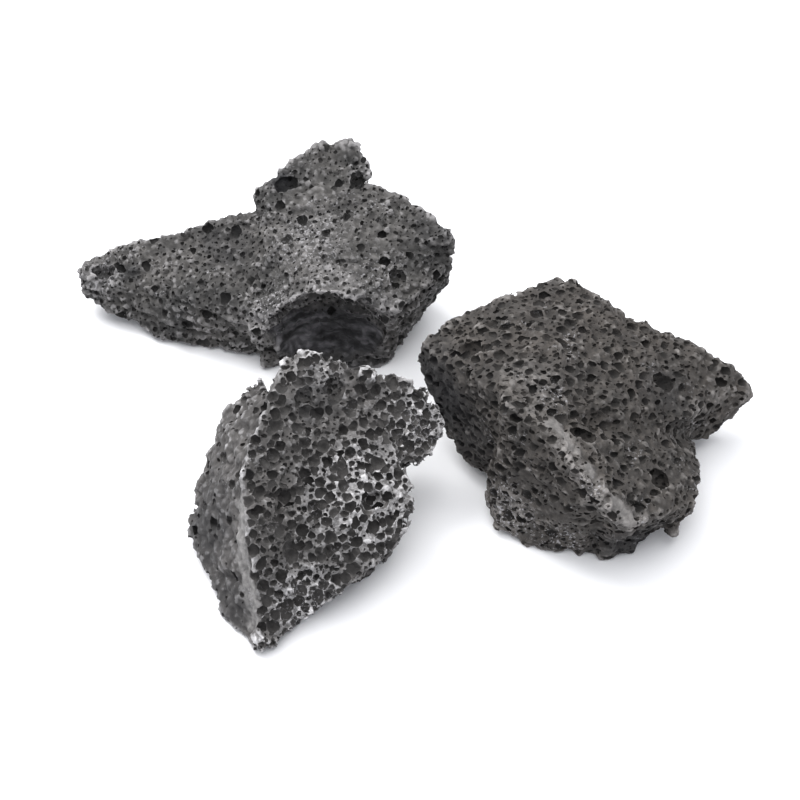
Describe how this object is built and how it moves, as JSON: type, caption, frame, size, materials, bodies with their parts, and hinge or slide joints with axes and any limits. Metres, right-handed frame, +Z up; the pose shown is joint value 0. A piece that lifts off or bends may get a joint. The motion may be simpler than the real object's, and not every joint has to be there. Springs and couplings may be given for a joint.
{
  "type": "rough vesicular basalt stones",
  "caption": "Set of loose, rough lumps of dark vesicular basalt, lying on worn flat undersides; each stone can be picked straight up.",
  "frame": {"origin": "on the surface the stones lie on, at the middle of the set's outline seen from above", "axes": "+X to the right along the set's length, +Y to the back, +Z up"},
  "size_m": [0.1664, 0.1292, 0.0382],
  "materials": {
    "long_stone_basalt": "rough, dull dark grey basalt with fine pores and many pale mineral flecks",
    "pitted_stone_basalt": "rough, dull dark grey basalt, honeycombed with round gas bubbles that have pale rims",
    "ridged_stone_basalt": "rough, dull brownish-black basalt with drawn-out bubbles and a pale worn ridge"
  },
  "bodies": {
    "long_stone": {"long_stone": "long_stone_basalt"},
    "pitted_stone": {"pitted_stone": "pitted_stone_basalt"},
    "ridged_stone": {"ridged_stone": "ridged_stone_basalt"}
  },
  "joints": [
    {"name": "pitted_stone_lift", "type": "slide", "parent": "long_stone", "child": "pitted_stone", "axis": [0, 0, 1], "range_m": [0, 0.06]},
    {"name": "ridged_stone_lift", "type": "slide", "parent": "long_stone", "child": "ridged_stone", "axis": [0, 0, 1], "range_m": [0, 0.06]}
  ]
}
